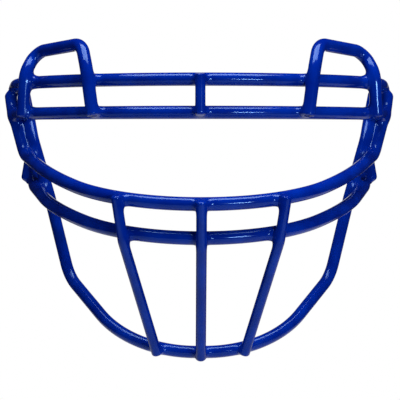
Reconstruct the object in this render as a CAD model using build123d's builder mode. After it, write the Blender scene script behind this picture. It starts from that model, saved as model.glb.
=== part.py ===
from build123d import *
import os
from math import cos, radians, sin, tan

os.makedirs("parts", exist_ok=True)

# Football helmet facemask: bars of round steel wire, bent and welded where they cross, in a polymer coating.
# X runs to the right of someone who looks at its front, Y from the front to the rear, and Z up.
# Left and right are named from that view. The origin is the middle of the whole cage.

# Wire, over its coating, and the gap that the fused metal of a weld bridges
thick_wire = 7.6
side_wire = 7.1
thin_wire = 5.8
weld_gap = 0.06
end_chamfer = 1.2

# Brow bars: two alike, one above the other, rolled in planes that rise to the rear
brow_front_y = -23.5
upper_brow_z = 67.4
brow_bar_spacing = 18.6
brow_pitch_angle = 3
brow_front_radius = 125
brow_front_angle = 52
brow_temple_radius = 86
upper_brow_temple_angle = 31
upper_brow_tail = 6
lower_brow_temple_angle = 22

# Short strut that joins the brow bars at the centre
brow_strut_top = 2.6
brow_strut_foot = 2

# Mouth bars: rolled in planes that rise more steeply to the rear
mouth_front_y = -62.5
upper_mouth_z = -3.2
mouth_bar_spacing = 18.4
lower_mouth_setback = 5
mouth_pitch_angle = 15.5
upper_mouth_front_radius = 86
upper_mouth_front_angle = 55
upper_mouth_cheek_radius = 240
upper_mouth_cheek_angle = 9
upper_mouth_jaw_radius = 260
upper_mouth_jaw_angle = 5
upper_mouth_tail = 26
lower_mouth_front_radius = 83
lower_mouth_front_angle = 52
lower_mouth_cheek_radius = 195
lower_mouth_cheek_angle = 13
lower_mouth_jaw_radius = 110
lower_mouth_jaw_angle = 7
lower_mouth_tail = 24

# Side loops: the ends of the upper mouth bar, bent up and back to the upper brow bar
loop_half_width = 123.4
loop_seat_y = 66
loop_overrun = 5
loop_low_radius = 12
loop_top_radius = 7

# Side and chin wire: one wire from temple to temple under the chin, inside all the bars
temple_seat_y = 55.5
upper_cheek_seat_y = 49
lower_cheek_seat_y = 40.5
temple_overrun = 5.6
temple_straight = 5
upper_cheek_straight = 5
lower_cheek_straight = 8
jaw_bend_x = 79
jaw_bend_y = 28
jaw_bend_z = -47.5
chin_corner_x = 39
chin_y = -22.5
chin_z = -87.1
temple_bend_radius = 30
cheek_bend_radius = 30
jaw_bend_radius = 24
chin_straight_share = 0.02

# Jaw struts: short straight pieces behind the side wire and the foot of each side loop
jaw_strut_rise = 12
jaw_strut_overrun = 2.5
jaw_foot_out = 2
jaw_foot_back = 8.5
jaw_foot_drop = 17.5
jaw_bar_rise = 3
jaw_bar_overrun = 3

# Corner hoops: each stands on the fronts of both brow bars, over the temple
hoop_inner_low_x = 60
hoop_inner_high_x = 61
hoop_outer_low_x = 101.5
hoop_outer_high_x = 101
hoop_foot = 3
hoop_inner_straight = 6
hoop_outer_straight = 5.5
hoop_inner_height = 21.8
hoop_inner_lean_x = 4.1
hoop_inner_lean_y = 10
hoop_outer_height = 19.5
hoop_outer_lean_x = 5.6
hoop_outer_lean_y = 9
hoop_inner_low_radius = 20
hoop_top_radius = 12
hoop_outer_low_radius = 14

# Vertical bars of the chin grille, on the fronts of the mouth bars and of the chin wire
vertical_upper_x = 42
vertical_lower_x = 40
vertical_chin_x = 22
vertical_top = 2
vertical_foot = 1.8
vertical_straight = 3
vertical_bend_radius = 12

# Shares of a straight run that a bend may take, and of an arc to its middle
run_share = 0.48
end_run_share = 0.8
half_share = 0.5

# Times that a seat and the direction of the wire on it are worked out from each other
settling_rounds = 4

# Axis distances of two wires at a weld
thick_pair = thick_wire + weld_gap
side_pair = (thick_wire + side_wire) / 2 + weld_gap
thin_pair = (thick_wire + thin_wire) / 2 + weld_gap
side_thin_pair = (side_wire + thin_wire) / 2 + weld_gap

upward = Vector(0, 0, 1)
forward = Vector(0, -1, 0)
rearward = Vector(0, 1, 0)
inward = Vector(1, 0, 0)


def rolled_half(front_y, front_z, pitch_angle, bends):
    """Arcs (start, middle, end) of a bar rolled in a pitched plane, from its front centre to the left rear."""
    x, back, heading = 0, 0, 0
    rise = Vector(0, cos(radians(pitch_angle)), sin(radians(pitch_angle)))
    front = Vector(0, front_y, front_z)
    arcs = []
    for radius, angle in bends:
        points = [front + Vector(x, 0, 0) + rise * back]
        start_x, start_back = x, back
        for share in (half_share, 1):
            reached = heading + angle * share
            x = start_x - radius * (sin(radians(reached)) - sin(radians(heading)))
            back = start_back + radius * (cos(radians(heading)) - cos(radians(reached)))
            points.append(front + Vector(x, 0, 0) + rise * back)
        arcs.append(tuple(points))
        heading += angle
    return arcs


def straight_and_bent(corners, radii):
    """Straight runs (start, end) with a round bend (start, middle, end) at each inner corner."""
    runs = []
    start = corners[0]
    for before, corner, after, radius in zip(corners, corners[1:], corners[2:], radii):
        back = (before - corner).normalized()
        onward = (after - corner).normalized()
        half = radians(back.get_angle(onward)) / 2
        before_share = end_run_share if before == corners[0] else run_share
        after_share = end_run_share if after == corners[-1] else run_share
        room = min((before - corner).length * before_share, (after - corner).length * after_share)
        setback = min(radius / tan(half), room)
        radius = setback * tan(half)
        runs.append((start, corner + back * setback))
        middle = corner + (back + onward).normalized() * (radius / sin(half) - radius)
        runs.append((corner + back * setback, middle, corner + onward * setback))
        start = corner + onward * setback
    runs.append((start, corners[-1]))
    return runs


def end_heading(runs):
    """Direction in which the last run ends."""
    last = runs[-1]
    if len(last) == 2:
        return (last[1] - last[0]).normalized()
    return Edge.make_three_point_arc(*last) % 1


def arc_onward(runs, target):
    """Arc that leaves the last run's end without a kink and ends at the target."""
    arc = Edge.make_tangent_arc(runs[-1][-1], end_heading(runs), target)
    return arc @ 0, arc @ half_share, arc @ 1


def reversed_runs(runs):
    return [tuple(reversed(run)) for run in reversed(runs)]


def mirrored(point):
    return Vector(-point.X, point.Y, point.Z)


def both_sides(left_half):
    """Whole bar, from the left rear to the right rear, from its left half that starts at the centre."""
    leftward = reversed_runs(left_half)
    return leftward + [tuple(mirrored(point) for point in run) for run in left_half]


def path_of(runs):
    edges = [Edge.make_line(*run) if len(run) == 2 else Edge.make_three_point_arc(*run) for run in runs]
    return Wire(edges)


def first_passing(path, test):
    """Point and direction where the left half of a path first passes the test."""
    low, high = 0, half_share
    for _ in range(40):
        middle = (low + high) / 2
        if test(path @ middle):
            high = middle
        else:
            low = middle
    return path @ high, path % high


def seat(point, direction, over_direction, pair, side):
    """Axis point of a wire that lies across another one, on the given side of it."""
    normal = direction.cross(over_direction).normalized()
    if normal.dot(side) < 0:
        normal = normal * -1
    return point + normal * pair


def sweep_wire(runs, diameter):
    """Round wire along its runs, added to the part in progress."""
    with BuildLine() as route:
        for run in runs:
            if len(run) == 2:
                Line(*run)
            else:
                ThreePointArc(*run)
    path = route.wire()
    with BuildSketch(Plane(origin=path @ 0, z_dir=path % 0)) as section:
        Circle(diameter / 2)
    sweep(sections=section.sketch, path=path)


# Brow bars' routes
lower_brow_z = upper_brow_z - brow_bar_spacing
brow_rise = tan(radians(brow_pitch_angle))
brow_bends = [(brow_front_radius, brow_front_angle)]
upper_brow_half = rolled_half(brow_front_y, upper_brow_z, brow_pitch_angle,
                              brow_bends + [(brow_temple_radius, upper_brow_temple_angle)])
lower_brow_half = rolled_half(brow_front_y, lower_brow_z, brow_pitch_angle,
                              brow_bends + [(brow_temple_radius, lower_brow_temple_angle)])
upper_brow_end = upper_brow_half[-1][-1]
upper_brow_half.append((upper_brow_end, upper_brow_end + end_heading(upper_brow_half) * upper_brow_tail))
upper_brow_path = path_of(both_sides(upper_brow_half))

# Upper mouth bar's route, with a side loop at each end
upper_mouth_half = rolled_half(mouth_front_y, upper_mouth_z, mouth_pitch_angle,
                               [(upper_mouth_front_radius, upper_mouth_front_angle),
                                (upper_mouth_cheek_radius, upper_mouth_cheek_angle),
                                (upper_mouth_jaw_radius, upper_mouth_jaw_angle)])
upper_mouth_end = upper_mouth_half[-1][-1]
loop_low = upper_mouth_end + end_heading(upper_mouth_half) * upper_mouth_tail
loop_over, loop_over_way = first_passing(upper_brow_path, lambda point: point.Y < loop_seat_y)
loop_seat = seat(loop_over, loop_over_way, inward, thick_pair, upward * -1)
loop_high = Vector(-loop_half_width, loop_seat.Y, loop_seat.Z)
loop_end = loop_seat + inward * loop_overrun
upper_mouth_half += straight_and_bent([upper_mouth_end, loop_low, loop_high, loop_end],
                                      [loop_low_radius, loop_top_radius])
upper_mouth_path = path_of(both_sides(upper_mouth_half))

# Lower brow bar's ends run into the side loops
loop_line = loop_high - loop_low
loop_drop = lower_brow_z + (loop_low.Y - brow_front_y) * brow_rise - loop_low.Z
brow_butt = loop_low + loop_line * (loop_drop / (loop_line.Z - loop_line.Y * brow_rise))
lower_brow_half.append(arc_onward(lower_brow_half, brow_butt))
lower_brow_path = path_of(both_sides(lower_brow_half))

# Lower mouth bar's route, without its ends
lower_mouth_z = upper_mouth_z - mouth_bar_spacing
lower_mouth_half = rolled_half(mouth_front_y + lower_mouth_setback, lower_mouth_z, mouth_pitch_angle,
                               [(lower_mouth_front_radius, lower_mouth_front_angle),
                                (lower_mouth_cheek_radius, lower_mouth_cheek_angle),
                                (lower_mouth_jaw_radius, lower_mouth_jaw_angle)])
lower_mouth_end = lower_mouth_half[-1][-1]
lower_mouth_half.append((lower_mouth_end, lower_mouth_end + end_heading(lower_mouth_half) * lower_mouth_tail))
lower_cheek_path = path_of(both_sides(lower_mouth_half))

# Side and chin wire's route: seated inside the brow bars and the mouth bars, then down to the chin
temple_high, temple_high_way = first_passing(upper_brow_path, lambda point: point.Y < temple_seat_y)
temple_low, temple_low_way = first_passing(lower_brow_path, lambda point: point.Y < temple_seat_y)
cheek_high, cheek_high_way = first_passing(upper_mouth_path, lambda point: point.Y < upper_cheek_seat_y)
cheek_low, cheek_low_way = first_passing(lower_cheek_path, lambda point: point.Y < lower_cheek_seat_y)
cheek_slope = cheek_high - cheek_low
temple_slope = temple_high - temple_low
side_temple_high = seat(temple_high, temple_high_way, temple_slope, side_pair, inward)
side_temple_low = seat(temple_low, temple_low_way, temple_slope, side_pair, inward)
side_cheek_high = seat(cheek_high, cheek_high_way, cheek_slope, side_pair, inward)
side_cheek_low = seat(cheek_low, cheek_low_way, cheek_slope, side_pair, inward)
temple_way = (side_temple_high - side_temple_low).normalized()
cheek_way = (side_cheek_high - side_cheek_low).normalized()
jaw_bend = Vector(-jaw_bend_x, jaw_bend_y, jaw_bend_z)
chin_corner = Vector(-chin_corner_x, chin_y, chin_z)
chin_turn = radians(inward.get_angle(chin_corner - jaw_bend))
chin_radius = chin_corner_x * (1 - chin_straight_share) / tan(chin_turn / 2)
side_corners = [side_temple_high + temple_way * temple_overrun,
                side_temple_low - temple_way * temple_straight,
                side_cheek_high + cheek_way * upper_cheek_straight,
                side_cheek_low - cheek_way * lower_cheek_straight,
                jaw_bend,
                chin_corner]
side_radii = [temple_bend_radius, cheek_bend_radius, cheek_bend_radius, jaw_bend_radius, chin_radius]
side_half = straight_and_bent(side_corners + [mirrored(chin_corner)], side_radii)[:-1]
side_half.append((side_half[-1][-1], Vector(0, chin_y, chin_z)))
side_half = reversed_runs(side_half)
side_path = path_of(both_sides(side_half))

# Jaw struts' routes, behind the side wire and behind the foot of the side loop
strut_top_z = loop_low.Z + jaw_strut_rise
strut_back, strut_back_way = first_passing(side_path, lambda point: point.Z < strut_top_z)
jaw_foot = loop_low + Vector(-jaw_foot_out, jaw_foot_back, -jaw_foot_drop)
strut_way = (jaw_foot - strut_back).normalized()
for _ in range(settling_rounds):
    strut_seat = seat(strut_back, strut_back_way, strut_way, side_thin_pair, rearward)
    strut_way = (jaw_foot - strut_seat).normalized()
jaw_strut_runs = [(strut_seat - strut_way * jaw_strut_overrun, jaw_foot)]
jaw_strut_path = path_of(jaw_strut_runs)

# Lower mouth bar's ends run past the inboard sides of the jaw struts
jaw_contact = jaw_foot - strut_way * jaw_bar_rise
jaw_bar_way = end_heading(lower_mouth_half)
for _ in range(settling_rounds):
    jaw_bar_seat = seat(jaw_contact, strut_way, jaw_bar_way, thin_pair, inward)
    jaw_bar_arc = arc_onward(lower_mouth_half, jaw_bar_seat)
    jaw_bar_way = end_heading([jaw_bar_arc])
lower_mouth_half.append(jaw_bar_arc)
lower_mouth_half.append((jaw_bar_seat, jaw_bar_seat + jaw_bar_way * jaw_bar_overrun))
lower_mouth_path = path_of(both_sides(lower_mouth_half))

# Corner hoops' routes, seated on the fronts of the brow bars
hoop_seats = []
for path, x in ((lower_brow_path, hoop_inner_low_x), (upper_brow_path, hoop_inner_high_x),
                (upper_brow_path, hoop_outer_high_x), (lower_brow_path, hoop_outer_low_x)):
    under, under_way = first_passing(path, lambda point: point.X > -x)
    hoop_seats.append(seat(under, under_way, upward, thick_pair, forward))
inner_low, inner_high, outer_high, outer_low = hoop_seats
inner_way = (inner_high - inner_low).normalized()
outer_way = (outer_high - outer_low).normalized()
hoop_corners = [inner_low - inner_way * hoop_foot,
                inner_high + inner_way * hoop_inner_straight,
                inner_high + Vector(-hoop_inner_lean_x, hoop_inner_lean_y, hoop_inner_height),
                outer_high + Vector(hoop_outer_lean_x, hoop_outer_lean_y, hoop_outer_height),
                outer_high + outer_way * hoop_outer_straight,
                outer_low - outer_way * hoop_foot]
hoop_runs = straight_and_bent(hoop_corners, [hoop_inner_low_radius, hoop_top_radius,
                                             hoop_top_radius, hoop_outer_low_radius])

# Chin grille's routes
def vertical_route(upper_x, lower_x, chin_x):
    """Runs of one vertical bar, seated on the fronts of both mouth bars and of the chin wire."""
    upper, upper_way = first_passing(upper_mouth_path, lambda point: point.X > -upper_x)
    lower, lower_way = first_passing(lower_mouth_path, lambda point: point.X > -lower_x)
    chin, chin_way = first_passing(side_path, lambda point: point.X > -chin_x)
    top = seat(upper, upper_way, lower - upper, thin_pair, forward)
    middle = seat(lower, lower_way, lower - upper, thin_pair, forward)
    way = (middle - top).normalized()
    bend = middle + way * vertical_straight
    foot = seat(chin, chin_way, chin - bend, side_thin_pair, forward)
    end = foot + (foot - bend).normalized() * vertical_foot
    return straight_and_bent([top - way * vertical_top, bend, end], [vertical_bend_radius])


centre_runs = vertical_route(0, 0, 0)
left_runs = vertical_route(vertical_upper_x, vertical_lower_x, vertical_chin_x)

# Brow strut's route
strut_y = brow_front_y - thin_pair
brow_strut_runs = [(Vector(0, strut_y, upper_brow_z + brow_strut_top),
                    Vector(0, strut_y, lower_brow_z - brow_strut_foot))]

# Upper brow bar
with BuildPart() as upper_brow_bar:
    sweep_wire(both_sides(upper_brow_half), thick_wire)
    chamfer(upper_brow_bar.faces().filter_by(GeomType.PLANE).edges(), end_chamfer)

# Upper mouth bar, whose ends are the side loops
with BuildPart() as upper_mouth_bar:
    sweep_wire(both_sides(upper_mouth_half), thick_wire)
    chamfer(upper_mouth_bar.faces().filter_by(GeomType.PLANE).edges(), end_chamfer)

# Lower brow bar, whose ends are coped to the side loops
with BuildPart() as lower_brow_bar:
    sweep_wire(both_sides(lower_brow_half), thick_wire)
    add(upper_mouth_bar.part, mode=Mode.SUBTRACT)

# Lower mouth bar
with BuildPart() as lower_mouth_bar:
    sweep_wire(both_sides(lower_mouth_half), thick_wire)
    chamfer(lower_mouth_bar.faces().filter_by(GeomType.PLANE).edges(), end_chamfer)

# Side and chin wire
with BuildPart() as side_and_chin_wire:
    sweep_wire(both_sides(side_half), side_wire)
    chamfer(side_and_chin_wire.faces().filter_by(GeomType.PLANE).edges(), end_chamfer)

# Brow strut
with BuildPart() as brow_strut:
    sweep_wire(brow_strut_runs, thin_wire)
    chamfer(brow_strut.faces().filter_by(GeomType.PLANE).edges(), end_chamfer)

# Corner hoops
with BuildPart() as left_corner_hoop:
    sweep_wire(hoop_runs, thick_wire)
    chamfer(left_corner_hoop.faces().filter_by(GeomType.PLANE).edges(), end_chamfer)

with BuildPart() as right_corner_hoop:
    mirror(left_corner_hoop.part, about=Plane.YZ)

# Jaw struts
with BuildPart() as left_jaw_strut:
    sweep_wire(jaw_strut_runs, thin_wire)
    chamfer(left_jaw_strut.faces().filter_by(GeomType.PLANE).edges(), end_chamfer)

with BuildPart() as right_jaw_strut:
    mirror(left_jaw_strut.part, about=Plane.YZ)

# Vertical bars
with BuildPart() as centre_vertical_bar:
    sweep_wire(centre_runs, thin_wire)
    chamfer(centre_vertical_bar.faces().filter_by(GeomType.PLANE).edges(), end_chamfer)

with BuildPart() as left_vertical_bar:
    sweep_wire(left_runs, thin_wire)
    chamfer(left_vertical_bar.faces().filter_by(GeomType.PLANE).edges(), end_chamfer)

with BuildPart() as right_vertical_bar:
    mirror(left_vertical_bar.part, about=Plane.YZ)

pieces = {
    "upper_brow_bar": upper_brow_bar,
    "lower_brow_bar": lower_brow_bar,
    "brow_strut": brow_strut,
    "left_corner_hoop": left_corner_hoop,
    "right_corner_hoop": right_corner_hoop,
    "side_and_chin_wire": side_and_chin_wire,
    "upper_mouth_bar": upper_mouth_bar,
    "lower_mouth_bar": lower_mouth_bar,
    "centre_vertical_bar": centre_vertical_bar,
    "left_vertical_bar": left_vertical_bar,
    "right_vertical_bar": right_vertical_bar,
    "left_jaw_strut": left_jaw_strut,
    "right_jaw_strut": right_jaw_strut,
}
for name, piece in pieces.items():
    piece.part.label = name
    export_step(piece.part, f"parts/{name}.step")

low = Vector(*[min(getattr(piece.part.bounding_box().min, axis) for piece in pieces.values()) for axis in "XYZ"])
high = Vector(*[max(getattr(piece.part.bounding_box().max, axis) for piece in pieces.values()) for axis in "XYZ"])
print("from", low, "to", high)
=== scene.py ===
import math

import bpy
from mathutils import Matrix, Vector


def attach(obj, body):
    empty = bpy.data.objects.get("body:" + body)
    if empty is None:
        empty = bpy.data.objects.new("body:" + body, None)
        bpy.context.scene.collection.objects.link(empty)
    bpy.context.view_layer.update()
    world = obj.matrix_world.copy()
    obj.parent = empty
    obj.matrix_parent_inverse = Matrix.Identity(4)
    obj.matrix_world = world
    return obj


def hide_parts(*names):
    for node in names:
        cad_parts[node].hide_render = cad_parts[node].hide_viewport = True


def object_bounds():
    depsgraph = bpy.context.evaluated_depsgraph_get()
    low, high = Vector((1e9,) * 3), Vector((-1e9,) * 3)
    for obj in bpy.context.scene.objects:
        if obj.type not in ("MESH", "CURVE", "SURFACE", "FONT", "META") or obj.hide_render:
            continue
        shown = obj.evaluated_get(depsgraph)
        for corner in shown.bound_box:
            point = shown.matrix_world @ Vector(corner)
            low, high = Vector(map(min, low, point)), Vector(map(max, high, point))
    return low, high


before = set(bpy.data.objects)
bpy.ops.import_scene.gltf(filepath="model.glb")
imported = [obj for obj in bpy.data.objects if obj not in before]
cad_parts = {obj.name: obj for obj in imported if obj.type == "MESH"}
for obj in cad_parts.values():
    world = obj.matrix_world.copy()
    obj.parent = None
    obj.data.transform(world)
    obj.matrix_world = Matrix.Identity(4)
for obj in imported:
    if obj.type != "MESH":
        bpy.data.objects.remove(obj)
cadLow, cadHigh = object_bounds()
scene = bpy.context.scene
millimetre = 0.001
print("frame loaded with", len(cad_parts), "wires")


# Adds a node with its settings, and links or sets its inputs
def addNode(tree, kind, sources=None, **settings):
    node = tree.nodes.new(kind)
    for name, value in settings.items():
        setattr(node, name, value)
    for key, source in (sources or {}).items():
        if isinstance(source, bpy.types.Node):
            source = source.outputs[0]
        if isinstance(source, bpy.types.NodeSocket):
            tree.links.new(source, node.inputs[key])
        else:
            node.inputs[key].default_value = source
    return node


# Adds an object that holds a mesh, a light or a camera
def addObject(name, data):
    thing = bpy.data.objects.new(name, data)
    scene.collection.objects.link(thing)
    return thing


# sRGB hex to the linear colour that a shader takes
def linearColour(code):
    parts = [int(code[i:i + 2], 16) / 255 for i in (1, 3, 5)]
    linear = [c / 12.92 if c <= 0.04045 else ((c + 0.055) / 1.055) ** 2.4 for c in parts]
    return (*linear, 1.0)


# Polymer coat over steel, dipped and cured: glossy, with slow waves and an orange peel. It gives
# the eye narrow highlights that waver along each bar, on a deep blue that is a little uneven.
# Sizes are in millimetres. A real peel's grain of about 1 mm is too fine to show in the render,
# so the peel is drawn at 3 mm.
coat = {
    "deepColour": "#001A76",
    "paleColour": "#002488",
    "colourRange": (0.35, 0.65),  # of the patch noise, from the deep colour to the pale one
    "patchSize": 14.0,
    "patchDetail": 3.0,
    "smoothest": 0.11,
    "roughest": 0.16,
    "sheenRange": (0.3, 0.7),  # of the patch noise, from the smoothest place to the roughest
    "ior": 1.36,  # under the usual 1.5 of a polymer, as reflections in the photograph are weak
    "glossTint": "#95CBFF",
    "waveSize": 5.0,
    "waveHeight": 0.006,
    "peelSize": 3.0,
    "peelHeight": 0.0004,
    "reliefDetail": 0.0,
}


def makeCoat():
    material = bpy.data.materials.new("dippedPolymerCoatBlue")
    material.use_nodes = True
    tree = material.node_tree
    tree.nodes.clear()
    place = addNode(tree, "ShaderNodeTexCoord").outputs["Object"]
    patches = addNode(tree, "ShaderNodeTexNoise", {
        "Vector": place, "Scale": 1 / (coat["patchSize"] * millimetre),
        "Detail": coat["patchDetail"]})
    colours = addNode(tree, "ShaderNodeValToRGB", {"Fac": patches})
    stops = colours.color_ramp.elements
    stops[0].position, stops[1].position = coat["colourRange"]
    stops[0].color = linearColour(coat["deepColour"])
    stops[1].color = linearColour(coat["paleColour"])
    sheen = addNode(tree, "ShaderNodeMapRange", {
        "Value": patches, "From Min": coat["sheenRange"][0], "From Max": coat["sheenRange"][1],
        "To Min": coat["smoothest"], "To Max": coat["roughest"]})
    relief = None  # each bump stands on the one before
    for size, height in (("waveSize", "waveHeight"), ("peelSize", "peelHeight")):
        noise = addNode(tree, "ShaderNodeTexNoise", {
            "Vector": place, "Scale": 1 / (coat[size] * millimetre),
            "Detail": coat["reliefDetail"]})
        bump = addNode(tree, "ShaderNodeBump", {
            "Height": noise, "Distance": coat[height] * millimetre})
        if relief:
            tree.links.new(relief.outputs[0], bump.inputs["Normal"])
        relief = bump
    shader = addNode(tree, "ShaderNodeBsdfPrincipled", {
        "Base Color": colours,
        "Roughness": sheen.outputs["Result"],
        "IOR": coat["ior"],
        "Specular Tint": linearColour(coat["glossTint"]),
        "Normal": relief,
    })
    addNode(tree, "ShaderNodeOutputMaterial", {"Surface": shader})
    return material


coatMaterial = makeCoat()
print("coat made")

# Routes in millimetres: corner x, y, z and the radius of the bend there, which is 0 at an end.
# A mirrored wire lists its left half, from the corner nearest the centre.
upperBrowBar = {
    "diameter": 7.6,
    "mirrored": True,
    "corners": [(-60.97, -23.50, 67.40, 125), (-112.19, 41.98, 70.70, 86),
                (-117.40, 72.79, 71.50, 0)],
}
lowerBrowBar = {
    "diameter": 7.6,
    "mirrored": True,
    "corners": [(-60.97, -23.50, 48.60, 125), (-107.47, 35.94, 51.71, 86),
                (-114.06, 55.29, 52.73, 146.9), (-116.40, 60.71, 53.01, 0)],
}
upperMouthBar = {
    "diameter": 7.6,
    "mirrored": True,
    "corners": [(-44.77, -62.50, -3.20, 86), (-81.28, -12.25, 10.74, 240),
                (-94.54, 13.94, 18.00, 260), (-108.20, 47.54, 27.30, 12),
                (-118.00, 62.60, 57.00, 25), (-119.90, 66.90, 67.40, 0)],
    "endRounding": 3.2,
}
lowerMouthBar = {
    "diameter": 7.6,
    "mirrored": True,
    "corners": [(-40.48, -57.50, -21.60, 83), (-79.08, -9.89, -8.40, 195),
                (-91.32, 15.39, -1.39, 110), (-102.96, 49.92, 8.19, 36.7),
                (-104.00, 65.50, 16.40, 0)],
}
sideAndChinWire = {
    "diameter": 7.1,
    "mirrored": True,
    "corners": [(-39.00, -22.50, -87.10, 65.4), (-78.80, 28.00, -47.40, 24),
                (-91.80, 39.50, 0.50, 30), (-103.53, 50.71, 37.35, 30),
                (-106.26, 57.85, 48.32, 16), (-109.89, 58.58, 66.50, 0)],
}
cornerHoop = {
    "diameter": 7.6,
    "corners": [(-61.60, -16.14, 47.17, 0), (-65.30, -14.53, 74.16, 20),
                (-68.80, -4.90, 89.60, 12), (-99.10, 30.60, 88.90, 7.5),
                (-104.80, 21.00, 75.10, 14), (-106.50, 23.34, 49.10, 0)],
}
centreVerticalBar = {
    "diameter": 5.8,
    "corners": [(0, -69.75, -1.60, 0), (0, -63.24, -26.27, 12), (0, -27.76, -90.70, 0)],
}
sideVerticalBar = {
    "diameter": 5.8,
    "corners": [(-46.10, -58.30, 1.30, 0), (-42.50, -53.13, -23.55, 12),
                (-24.50, -24.91, -88.30, 0)],
}
jawStrut = {
    "diameter": 5.8,
    "corners": [(-104.60, 58.20, 38.20, 0), (-108.90, 56.20, 11.20, 0)],
    "endRounding": 2.4,
}
browStrut = {
    "diameter": 5.8,
    "corners": [(-0.25, -30.26, 70, 0), (-0.25, -30.26, 46.8, 0)],
}


def otherSide(wire):
    return dict(wire, corners=[(-x, y, z, radius) for x, y, z, radius in wire["corners"]])


def wholeRoute(wire):
    corners = wire["corners"]
    if wire.get("mirrored"):
        corners = corners[::-1] + otherSide(wire)["corners"]
    return corners


# One piece for each node of the frame
wires = {
    "upper_brow_bar": upperBrowBar,
    "lower_brow_bar": lowerBrowBar,
    "brow_strut": browStrut,
    "left_corner_hoop": cornerHoop,
    "right_corner_hoop": otherSide(cornerHoop),
    "side_and_chin_wire": sideAndChinWire,
    "upper_mouth_bar": upperMouthBar,
    "lower_mouth_bar": lowerMouthBar,
    "centre_vertical_bar": centreVerticalBar,
    "left_vertical_bar": sideVerticalBar,
    "right_vertical_bar": otherSide(sideVerticalBar),
    "left_jaw_strut": jawStrut,
    "right_jaw_strut": otherSide(jawStrut),
}

# Lengths in millimetres. A wire's own endRounding goes before this one.
wireMesh = {
    "sides": 48,
    "ringSpacing": 0.6,
    "bendResolution": 64,
    "endRounding": 1.3,
    "endRings": 6,
}

# Where two wires cross, weld and coat fill the corner between them. Lengths are in millimetres.
weldFillet = {
    "reach": 5.0,
    "mostLift": 1.25,
    "blendShare": 0.25,
    "passes": 10,
    "step": 0.8,  # share of the way to the blended surface that one pass moves a point
    "trim": 0.8,  # what each end of a neighbour's centre line loses, in wire radii
}


def newTree(name, inputs):
    tree = bpy.data.node_groups.new(name, "GeometryNodeTree")
    for label, kind in (("Geometry", "Geometry"), *inputs):
        tree.interface.new_socket(label, in_out="INPUT", socket_type="NodeSocket" + kind)
    tree.interface.new_socket("Geometry", in_out="OUTPUT", socket_type="NodeSocketGeometry")
    return tree, addNode(tree, "NodeGroupInput").outputs


def addEnd(tree, geometry, finish):
    realized = addNode(tree, "GeometryNodeRealizeInstances", {"Geometry": geometry})
    finished = addNode(tree, "GeometryNodeSetMaterial", {
        "Geometry": realized, "Material": finish})
    addNode(tree, "NodeGroupOutput", {"Geometry": finished})


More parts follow.
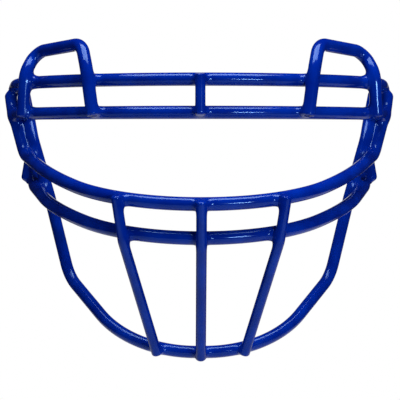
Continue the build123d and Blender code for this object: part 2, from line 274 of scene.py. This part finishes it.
# The centre line of a bar: a polyline with rounded corners, and one point for each ring of the bar
def makeRouteTree():
    tree, given = newTree("bentRoute", (
        ("Wire Radius", "Float"), ("End Rounding", "Float"), ("Ring Spacing", "Float"),
        ("End Rings", "Int"), ("Finish", "Material")))
    bendRadius = addNode(tree, "GeometryNodeInputNamedAttribute", {"Name": "bendRadius"},
                         data_type="FLOAT")
    line = addNode(tree, "GeometryNodeMeshToCurve", {"Mesh": given["Geometry"]})
    line = addNode(tree, "GeometryNodeCurveSplineType", {"Curve": line}, spline_type="BEZIER")
    bent = addNode(tree, "GeometryNodeFilletCurve",
                   {"Curve": line, "Radius": bendRadius, "Limit Radius": True}, mode="BEZIER")
    bent = addNode(tree, "GeometryNodeSetSplineResolution", {
        "Geometry": bent, "Resolution": wireMesh["bendResolution"]})
    length = addNode(tree, "GeometryNodeCurveLength", {"Curve": bent})

    # Evenly spaced rings, with End Rings more at each end for the rounding there
    evenRings = addNode(tree, "ShaderNodeMath", {0: length, 1: given["Ring Spacing"]},
                        operation="DIVIDE")
    evenRings = addNode(tree, "ShaderNodeMath", {0: evenRings}, operation="CEIL")
    lastRing = addNode(tree, "ShaderNodeMath", {0: given["End Rings"], 1: 2.0, 2: evenRings},
                       operation="MULTIPLY_ADD")
    ringCount = addNode(tree, "ShaderNodeMath", {0: lastRing, 1: 1.0}, operation="ADD")
    rings = addNode(tree, "GeometryNodeMeshLine", {"Count": ringCount})

    # A rounding is a quarter turn, so its rings lie closest together at the very end
    ring = addNode(tree, "GeometryNodeInputIndex")
    fromFarEnd = addNode(tree, "ShaderNodeMath", {0: lastRing, 1: ring}, operation="SUBTRACT")
    fromEnd = addNode(tree, "ShaderNodeMath", {0: ring, 1: fromFarEnd}, operation="MINIMUM")
    turn = addNode(tree, "ShaderNodeMath", {0: fromEnd, 1: given["End Rings"]},
                   operation="DIVIDE")
    turn = addNode(tree, "ShaderNodeMath", {0: turn, 1: 1.0}, operation="MINIMUM")
    turn = addNode(tree, "ShaderNodeMath", {0: turn, 1: math.pi / 2}, operation="MULTIPLY")
    cosine = addNode(tree, "ShaderNodeMath", {0: turn}, operation="COSINE")
    sine = addNode(tree, "ShaderNodeMath", {0: turn}, operation="SINE")
    dip = addNode(tree, "ShaderNodeMath", {0: 1.0, 1: cosine}, operation="SUBTRACT")
    dip = addNode(tree, "ShaderNodeMath", {0: dip, 1: given["End Rounding"]},
                  operation="MULTIPLY")

    # Each ring's place along the route, counted from the nearer end
    straightRun = addNode(tree, "ShaderNodeMath", {0: given["End Rounding"], 1: -2.0, 2: length},
                          operation="MULTIPLY_ADD")
    step = addNode(tree, "ShaderNodeMath", {0: straightRun, 1: evenRings}, operation="DIVIDE")
    stepsIn = addNode(tree, "ShaderNodeMath", {0: fromEnd, 1: given["End Rings"]},
                      operation="SUBTRACT")
    stepsIn = addNode(tree, "ShaderNodeMath", {0: stepsIn, 1: 0.0}, operation="MAXIMUM")
    along = addNode(tree, "ShaderNodeMath", {0: stepsIn, 1: step, 2: dip},
                    operation="MULTIPLY_ADD")
    fromOther = addNode(tree, "ShaderNodeMath", {0: length, 1: along}, operation="SUBTRACT")
    nearFar = addNode(tree, "ShaderNodeMath", {0: fromFarEnd, 1: ring}, operation="LESS_THAN")
    place = addNode(tree, "GeometryNodeSwitch",
                    {"Switch": nearFar, "False": along, "True": fromOther}, input_type="FLOAT")
    onRoute = addNode(tree, "GeometryNodeSampleCurve", {"Curves": bent, "Length": place},
                      mode="LENGTH")
    rings = addNode(tree, "GeometryNodeSetPosition", {
        "Geometry": rings, "Position": onRoute.outputs["Position"]})

    rounding = addNode(tree, "ShaderNodeMath", {0: 1.0, 1: sine}, operation="SUBTRACT")
    rounding = addNode(tree, "ShaderNodeMath", {0: rounding, 1: given["End Rounding"]},
                       operation="MULTIPLY")
    ringRadius = addNode(tree, "ShaderNodeMath", {0: given["Wire Radius"], 1: rounding},
                         operation="SUBTRACT")
    rings = addNode(tree, "GeometryNodeStoreNamedAttribute",
                    {"Geometry": rings, "Name": "ringRadius", "Value": ringRadius},
                    data_type="FLOAT", domain="POINT")
    addEnd(tree, rings, given["Finish"])
    return tree


# A round bar along such a centre line, which swells to meet the bars that it is welded to.
# Each pass moves a point along its first outward direction, towards the smooth union of the
# bar's own round surface and the nearest neighbour's.
def makeBarTree():
    tree, given = newTree("coatedBar", (
        ("Neighbours", "Object"), ("Sides", "Int"), ("Fillet Reach", "Float"),
        ("Most Lift", "Float"), ("Passes", "Int"), ("Step", "Float"), ("Finish", "Material")))
    ringRadius = addNode(tree, "GeometryNodeInputNamedAttribute", {"Name": "ringRadius"},
                         data_type="FLOAT")
    route = addNode(tree, "GeometryNodeMeshToCurve", {"Mesh": given["Geometry"]})
    profile = addNode(tree, "GeometryNodeCurvePrimitiveCircle", {
        "Resolution": given["Sides"], "Radius": 1.0})
    bar = addNode(tree, "GeometryNodeCurveToMesh", {
        "Curve": route, "Profile Curve": profile, "Scale": ringRadius, "Fill Caps": True})
    bar = addNode(tree, "GeometryNodeSetShadeSmooth", {"Geometry": bar})
    normal = addNode(tree, "GeometryNodeInputNormal")
    bar = addNode(tree, "GeometryNodeStoreNamedAttribute",
                  {"Geometry": bar, "Name": "outward", "Value": normal},
                  data_type="FLOAT_VECTOR", domain="POINT")
    bar = addNode(tree, "GeometryNodeStoreNamedAttribute",
                  {"Geometry": bar, "Name": "lift", "Value": 0.0},
                  data_type="FLOAT", domain="POINT")

    neighbours = addNode(tree, "GeometryNodeObjectInfo",
                         {"Object": given["Neighbours"]}).outputs["Geometry"]
    again = tree.nodes.new("GeometryNodeRepeatInput")
    done = tree.nodes.new("GeometryNodeRepeatOutput")
    again.pair_with_output(done)
    tree.links.new(given["Passes"], again.inputs["Iterations"])
    tree.links.new(bar.outputs[0], again.inputs["Geometry"])
    outward = addNode(tree, "GeometryNodeInputNamedAttribute", {"Name": "outward"},
                      data_type="FLOAT_VECTOR")
    lift = addNode(tree, "GeometryNodeInputNamedAttribute", {"Name": "lift"}, data_type="FLOAT")

    # Gap to the surface of the nearest neighbour
    near = addNode(tree, "GeometryNodeProximity", {"Geometry": neighbours},
                   target_element="EDGES")
    nearPoint = addNode(tree, "GeometryNodeSampleNearest",
                        {"Geometry": neighbours, "Sample Position": near.outputs["Position"]},
                        domain="POINT")
    wireRadius = addNode(tree, "GeometryNodeInputNamedAttribute", {"Name": "wireRadius"},
                         data_type="FLOAT")
    nearRadius = addNode(tree, "GeometryNodeSampleIndex",
                         {"Geometry": neighbours, "Value": wireRadius, "Index": nearPoint},
                         data_type="FLOAT", domain="POINT")
    gap = addNode(tree, "ShaderNodeMath", {0: near.outputs["Distance"], 1: nearRadius},
                  operation="SUBTRACT")

    # Smooth union: the lesser of lift and gap, less a share of (reach - |lift - gap|)^2 / reach
    apart = addNode(tree, "ShaderNodeMath", {0: lift, 1: gap}, operation="SUBTRACT")
    apart = addNode(tree, "ShaderNodeMath", {0: apart}, operation="ABSOLUTE")
    blend = addNode(tree, "ShaderNodeMath", {0: given["Fillet Reach"], 1: apart},
                    operation="SUBTRACT")
    blend = addNode(tree, "ShaderNodeMath", {0: blend, 1: 0.0}, operation="MAXIMUM")
    blend = addNode(tree, "ShaderNodeMath", {0: blend, 1: blend}, operation="MULTIPLY")
    blend = addNode(tree, "ShaderNodeMath", {0: blend, 1: given["Fillet Reach"]},
                    operation="DIVIDE")
    nearest = addNode(tree, "ShaderNodeMath", {0: lift, 1: gap}, operation="MINIMUM")
    surface = addNode(tree, "ShaderNodeMath",
                      {0: blend, 1: -weldFillet["blendShare"], 2: nearest},
                      operation="MULTIPLY_ADD")

    # The point moves by a share of that distance, between no lift and the most lift
    move = addNode(tree, "ShaderNodeMath", {0: surface, 1: given["Step"]}, operation="MULTIPLY")
    newLift = addNode(tree, "ShaderNodeMath", {0: lift, 1: move}, operation="SUBTRACT")
    newLift = addNode(tree, "ShaderNodeMath", {0: newLift, 1: 0.0}, operation="MAXIMUM")
    newLift = addNode(tree, "ShaderNodeMath", {0: newLift, 1: given["Most Lift"]},
                      operation="MINIMUM")
    rise = addNode(tree, "ShaderNodeMath", {0: newLift, 1: lift}, operation="SUBTRACT")
    shift = addNode(tree, "ShaderNodeVectorMath", {0: outward, "Scale": rise},
                    operation="SCALE")
    kept = addNode(tree, "GeometryNodeStoreNamedAttribute",
                   {"Geometry": again.outputs["Geometry"], "Name": "newLift", "Value": newLift},
                   data_type="FLOAT", domain="POINT")
    moved = addNode(tree, "GeometryNodeSetPosition", {"Geometry": kept, "Offset": shift})
    savedLift = addNode(tree, "GeometryNodeInputNamedAttribute", {"Name": "newLift"},
                        data_type="FLOAT")
    moved = addNode(tree, "GeometryNodeStoreNamedAttribute",
                    {"Geometry": moved, "Name": "lift", "Value": savedLift},
                    data_type="FLOAT", domain="POINT")
    tree.links.new(moved.outputs[0], done.inputs["Geometry"])

    bar = done.outputs["Geometry"]
    for name in ("outward", "lift", "newLift", "ringRadius"):
        bar = addNode(tree, "GeometryNodeRemoveAttribute", {"Geometry": bar, "Name": name})
    addEnd(tree, bar, given["Finish"])
    return tree


# Runs a tree on an object and returns a plain object with the mesh that it makes
def settledMesh(holder, tree, values, name):
    modifier = holder.modifiers.new(tree.name, "NODES")
    modifier.node_group = tree
    for item in tree.interface.items_tree:
        if item.in_out == "INPUT" and item.name in values:
            modifier[item.identifier] = values[item.name]
    evaluated = holder.evaluated_get(bpy.context.evaluated_depsgraph_get())
    mesh = bpy.data.meshes.new_from_object(evaluated)
    bpy.data.objects.remove(holder)
    mesh.name = name
    return addObject(name, mesh)


def makeRoute(name, wire, tree):
    corners = wholeRoute(wire)
    line = bpy.data.meshes.new(name + "_corners")
    line.from_pydata([Vector(corner[:3]) * millimetre for corner in corners],
                     [(i, i + 1) for i in range(len(corners) - 1)], [])
    bend = line.attributes.new("bendRadius", "FLOAT", "POINT")
    bend.data.foreach_set("value", [corner[3] * millimetre for corner in corners])
    return settledMesh(addObject(name + "_corners", line), tree, {
        "Wire Radius": wire["diameter"] / 2 * millimetre,
        "End Rounding": wire.get("endRounding", wireMesh["endRounding"]) * millimetre,
        "Ring Spacing": wireMesh["ringSpacing"] * millimetre,
        "End Rings": wireMesh["endRings"],
        "Finish": coatMaterial,
    }, name + "_route")


# The centre lines of all wires but one, with their radii. Each stops short of its wire's ends,
# because the round surface about it reaches past its own end.
def makeNeighbours(name, routes):
    places, edges, radii = [], [], []
    for other, route in routes.items():
        if other == name:
            continue
        radius = wires[other]["diameter"] / 2 * millimetre
        trim = radius * weldFillet["trim"]
        points = [vertex.co.copy() for vertex in route.data.vertices]
        ends = (points[0], points[-1])
        points = [p for p in points if min((p - end).length for end in ends) > trim]
        start = len(places)
        places += points
        radii += [radius] * len(points)
        edges += [(start + i, start + i + 1) for i in range(len(points) - 1)]
    mesh = bpy.data.meshes.new(name + "_neighbours")
    mesh.from_pydata(places, edges, [])
    mesh.attributes.new("wireRadius", "FLOAT", "POINT").data.foreach_set("value", radii)
    return addObject(name + "_neighbours", mesh)


routeTree = makeRouteTree()
barTree = makeBarTree()
routes = {node: makeRoute(node, wire, routeTree) for node, wire in wires.items()}
print("centre lines made")
for node in wires:
    neighbours = makeNeighbours(node, routes)
    holder = addObject(node + "_line", routes[node].data.copy())
    piece = settledMesh(holder, barTree, {
        "Neighbours": neighbours,
        "Sides": wireMesh["sides"],
        "Fillet Reach": weldFillet["reach"] * millimetre,
        "Most Lift": weldFillet["mostLift"] * millimetre,
        "Passes": weldFillet["passes"],
        "Step": weldFillet["step"],
        "Finish": coatMaterial,
    }, node + "_coated")
    bpy.data.objects.remove(neighbours)
    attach(piece, "root")
    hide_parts(node)
    print(node, len(piece.data.polygons), "faces")
for route in routes.values():
    bpy.data.objects.remove(route)

# Stage, in metres: a pale floor below the part, which the eye and reflections see as nearly
# white and which keeps the part's shadow
stage = {
    "floorDrop": 0.25,
    "floorSize": 1.6,
    "floorColour": "#D4D4D4",
    "floorRoughness": 0.9,
    "floorGlow": 0.44,
}


def seenDirectly(tree):
    rays = addNode(tree, "ShaderNodeLightPath").outputs
    seen = addNode(tree, "ShaderNodeMath",
                   {0: rays["Is Camera Ray"], 1: rays["Is Transmission Ray"]},
                   operation="MAXIMUM")
    return rays, seen


def makeFloor():
    half = stage["floorSize"] / 2
    z = cadLow.z - stage["floorDrop"]
    corners = [(-half, -half, z), (half, -half, z), (half, half, z), (-half, half, z)]
    mesh = bpy.data.meshes.new("paleFloor")
    mesh.from_pydata(corners, [], [(0, 1, 2, 3)])
    floor = addObject("paleFloor", mesh)
    material = bpy.data.materials.new("matWhitePaper")
    material.use_nodes = True
    tree = material.node_tree
    shader = tree.nodes["Principled BSDF"]
    shader.inputs["Base Color"].default_value = linearColour(stage["floorColour"])
    shader.inputs["Roughness"].default_value = stage["floorRoughness"]
    shader.inputs["Emission Color"].default_value = (1, 1, 1, 1)
    rays, seen = seenDirectly(tree)
    seen = addNode(tree, "ShaderNodeMath", {0: seen, 1: rays["Is Glossy Ray"]},
                   operation="MAXIMUM")
    glow = addNode(tree, "ShaderNodeMath", {0: seen, 1: stage["floorGlow"]},
                   operation="MULTIPLY")
    tree.links.new(glow.outputs[0], shader.inputs["Emission Strength"])
    mesh.materials.append(material)


makeFloor()
print("floor placed")

# World: white to the eye. Reflections see a white card behind the part and little else, which
# keeps the bars' edges dark, and other light comes evenly from all round.
studio = {
    "fill": 0.14,
    "darkSide": 0.01,
    "cardStart": 0.93,  # Y of the direction in which the card begins
    "cardFull": 0.99,
}
world = bpy.data.worlds.new("whiteStudio")
scene.world = world
world.use_nodes = True
tree = world.node_tree
tree.nodes.clear()
rays, seen = seenDirectly(tree)
direction = addNode(tree, "ShaderNodeTexCoord").outputs["Generated"]
depth = addNode(tree, "ShaderNodeSeparateXYZ", {"Vector": direction}).outputs["Y"]
card = addNode(tree, "ShaderNodeMapRange", {
    "Value": depth, "From Min": studio["cardStart"], "From Max": studio["cardFull"],
    "To Min": studio["darkSide"], "To Max": 1.0}).outputs["Result"]
level = addNode(tree, "ShaderNodeMix", {0: rays["Is Glossy Ray"], 2: studio["fill"], 3: card},
                data_type="FLOAT")
level = addNode(tree, "ShaderNodeMath", {0: level, 1: seen}, operation="MAXIMUM")
background = addNode(tree, "ShaderNodeBackground", {"Color": (1, 1, 1, 1), "Strength": level})
addNode(tree, "ShaderNodeOutputWorld", {"Surface": background})
print("world made")

# Lamps, in metres and watts: a wide soft box above and a little in front, and a narrow strip
# beside the camera on its right
lamps = [
    {"name": "softBoxAbove", "place": (0.0, -0.18, 0.85), "aim": (0.0, 0.0, 0.0),
     "size": (0.85, 0.42), "power": 14.5, "colour": "#F2F5FF"},
    {"name": "stripRight", "place": (0.42, -0.80, 0.01), "aim": (0.0, -0.05, 0.0),
     "size": (0.24, 0.06), "power": 4.6, "colour": "#F2F5FF"},
]
for lamp in lamps:
    data = bpy.data.lights.new(lamp["name"], "AREA")
    data.shape = "RECTANGLE"
    data.size, data.size_y = lamp["size"]
    data.energy = lamp["power"]
    data.color = linearColour(lamp["colour"])[:3]
    light = addObject(lamp["name"], data)
    light.location = lamp["place"]
    beam = Vector(lamp["aim"]) - Vector(lamp["place"])
    light.rotation_euler = beam.to_track_quat("-Z", "Y").to_euler()
print("lamps placed")

# Camera: level, in front of the object, 0.76 m from its middle
view = {
    "place": (-0.0084, -0.7625, -0.001),
    "lens": 117.54,
    "sensor": 36,
    "shift": 0.0355,
}
camera = addObject("camera", bpy.data.cameras.new("camera"))
camera.data.lens = view["lens"]
camera.data.sensor_width = view["sensor"]
camera.data.shift_x = view["shift"]
camera.location = view["place"]
camera.rotation_euler = (math.pi / 2, 0, 0)
scene.camera = camera
scene.view_settings.view_transform = "Standard"
print("camera placed")
